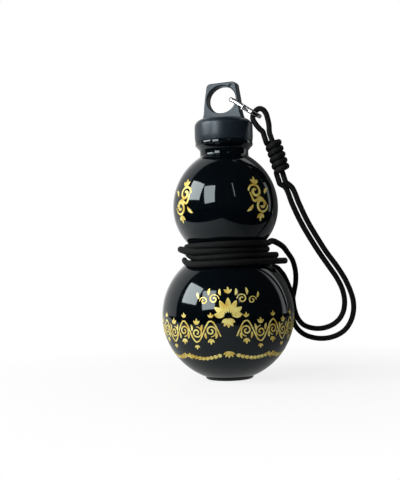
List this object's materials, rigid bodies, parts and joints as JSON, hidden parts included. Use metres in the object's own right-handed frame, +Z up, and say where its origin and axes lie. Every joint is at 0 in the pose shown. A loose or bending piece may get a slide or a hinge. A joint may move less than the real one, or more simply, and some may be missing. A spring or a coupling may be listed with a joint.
{
  "type": "gourd-shaped water bottle",
  "caption": "Double-bulb gourd-shaped water bottle with a screw cap, carry loop, small carabiner and a knotted cord lanyard wound round the waist.",
  "frame": {"origin": "middle of the foot, on the surface that the bottle stands on", "axes": "+Z up along the bottle's axis, -Y towards the side with the printed ornament, +X towards the hanging lanyard"},
  "size_m": [0.1454, 0.0982, 0.22],
  "materials": {
    "bottle": "high gloss, blue-black",
    "cap": "satin, charcoal",
    "seal": "matte silicone",
    "metal": "polished plate",
    "cord": "matte black braid"
  },
  "bodies": {
    "bottle": {"gourd_body": "bottle", "waist_hitch": "cord", "cord_outer_lower": "cord", "cord_inner_lower": "cord"},
    "seal": {"seal_ring": "seal"},
    "cap": {"cap": "cap", "cord_outer_upper": "cord", "cord_inner_upper": "cord"},
    "carabiner": {"carabiner_frame": "metal", "gate_rivet": "metal", "gate_spring": "metal", "cord_eye": "cord", "cord_knot": "cord"},
    "gate": {"carabiner_gate": "metal"}
  },
  "joints": [
    {"name": "cap_rise", "type": "slide", "parent": "bottle", "child": "seal", "axis": [0, 0, 1], "range_m": [0, 0.018]},
    {"name": "cap_turn", "type": "hinge", "parent": "seal", "child": "cap", "pos_m": [0, 0, 0.182], "axis": [0, 0, 1], "range_deg": [0, 1080], "deforming": ["cord_outer_upper", "cord_inner_upper", "cord_outer_lower", "cord_inner_lower"]},
    {"name": "carabiner_swing", "type": "hinge", "parent": "cap", "child": "carabiner", "pos_m": [0.00705, -0.00462, 0.2064], "axis": [-0.3907, -0.9205, 0], "range_deg": [0, 35]},
    {"name": "gate_open", "type": "hinge", "parent": "carabiner", "child": "gate", "pos_m": [0.01437, -0.0149, 0.19909], "axis": [-0.5174, 0.2196, -0.8271], "range_deg": [0, 17], "stiffness_Nm_per_rad": 0.02, "springref_deg": -11.46}
  ],
  "couplings": [
    {"joint": "cap_rise", "follows": "cap_turn", "m_per_rad": 0.0009549}
  ]
}
